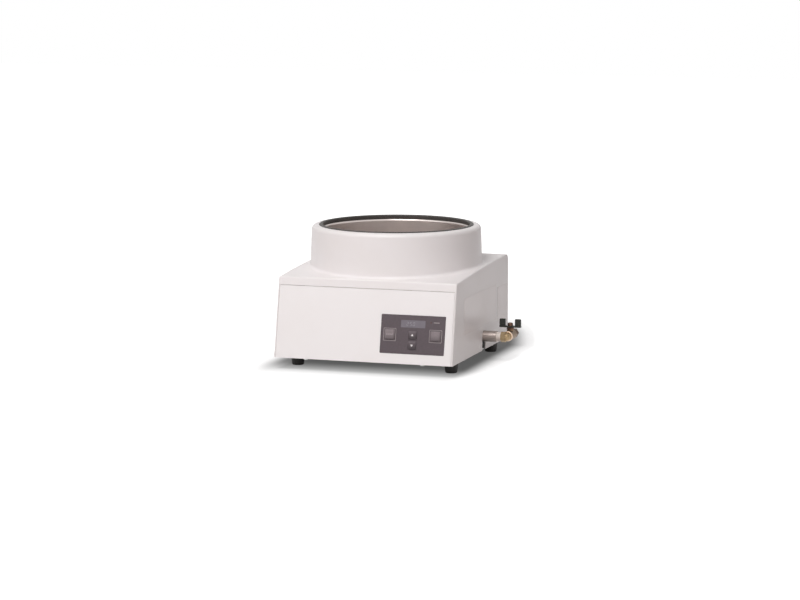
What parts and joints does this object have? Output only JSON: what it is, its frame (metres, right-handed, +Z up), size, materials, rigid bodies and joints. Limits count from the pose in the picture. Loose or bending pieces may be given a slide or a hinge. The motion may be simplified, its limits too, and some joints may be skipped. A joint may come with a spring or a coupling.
{
  "type": "laboratory water bath",
  "caption": "Heated round water bath in a low case with a tall collar, a leaning front with a key panel and a drain valve on the right side.",
  "frame": {"origin": "middle of the case's footprint on the table", "axes": "+X to the right, towards the drain valve; +Y to the back; +Z up"},
  "size_m": [0.3556, 0.3243, 0.2225],
  "materials": {
    "cover": "satin, off-white",
    "panel_paint": "satin, off-white",
    "steel": "brushed",
    "zinc": "zinc plated",
    "rubber": "matt black",
    "gasket": "matt dark grey",
    "dark_plastic": "matt dark grey",
    "key_light": "satin grey",
    "key_dark": "satin dark grey",
    "window": "glossy grey",
    "led": "glossy red",
    "board": "matt green",
    "black_plastic": "matt black",
    "insulation": "fibrous",
    "aluminium": "natural",
    "heater_alloy": "cast",
    "element": "dull",
    "core": "lacquered",
    "coil": "taped",
    "brass": "cast and turned",
    "seal": "white",
    "pipe": "satin grey",
    "sleeve": "satin white",
    "handle": "satin dark green-black",
    "nut_dark": "satin dark brown",
    "lead": "silicone",
    "cable": "matt"
  },
  "bodies": {
    "case": {"housing_cover": "cover", "front_panel": "panel_paint", "back_panel": "panel_paint", "base_plate": "zinc", "front_left_foot": "rubber", "front_right_foot": "rubber", "rear_left_foot": "rubber", "rear_right_foot": "rubber", "foot_screws": "zinc", "case_screws": "zinc", "back_screws": "zinc", "bath_vessel": "steel", "rim_gasket": "gasket", "vessel_insulation": "insulation", "left_vessel_bridge": "zinc", "right_vessel_bridge": "zinc", "heater_plate": "heater_alloy", "heater_element": "element", "heater_clamp": "zinc", "clamp_nuts": "zinc", "temperature_probe": "steel", "probe_clip": "zinc", "overheat_cutout": "black_plastic", "control_panel": "dark_plastic", "display_window": "window", "display_module": "black_plastic", "indicator_light": "led", "control_board": "board", "board_screws": "zinc", "key_switches": "black_plastic", "board_spacers": "seal", "power_board": "board", "relay_heat_sink": "aluminium", "solid_state_relay": "black_plastic", "transformer_core": "core", "transformer_coil": "coil", "terminal_block": "seal", "mains_inlet": "black_plastic", "inlet_pins": "brass", "inlet_screws": "zinc", "heater_leads": "lead", "panel_cable": "cable", "drain_riser": "steel", "drain_elbow": "brass", "drain_pipe": "pipe", "drain_sleeve": "sleeve", "valve_elbow": "brass", "valve_body": "brass", "valve_end": "brass", "valve_seats": "seal", "gland_nut": "nut_dark"},
    "left_key": {"left_key": "key_light"},
    "right_key": {"right_key": "key_dark"},
    "up_key": {"up_key": "key_dark"},
    "down_key": {"down_key": "key_dark"},
    "valve_handle": {"valve_handle": "handle", "valve_stem": "brass", "valve_ball": "steel", "handle_nut": "nut_dark"}
  },
  "joints": [
    {"name": "left_key_press", "type": "slide", "parent": "case", "child": "left_key", "axis": [0, 0.9799, -0.1994], "range_m": [0, 0.0008], "stiffness_N_per_m": 1500, "springref_m": -0.0004},
    {"name": "right_key_press", "type": "slide", "parent": "case", "child": "right_key", "axis": [0, 0.9799, -0.1994], "range_m": [0, 0.0008], "stiffness_N_per_m": 1500, "springref_m": -0.0004},
    {"name": "up_key_press", "type": "slide", "parent": "case", "child": "up_key", "axis": [0, 0.9799, -0.1994], "range_m": [0, 0.0008], "stiffness_N_per_m": 1500, "springref_m": -0.0004},
    {"name": "down_key_press", "type": "slide", "parent": "case", "child": "down_key", "axis": [0, 0.9799, -0.1994], "range_m": [0, 0.0008], "stiffness_N_per_m": 1500, "springref_m": -0.0004},
    {"name": "valve_handle_turn", "type": "hinge", "parent": "case", "child": "valve_handle", "pos_m": [0.1876, 0.0408, 0.0428], "axis": [0, 0, 1], "range_deg": [0, 90]}
  ]
}
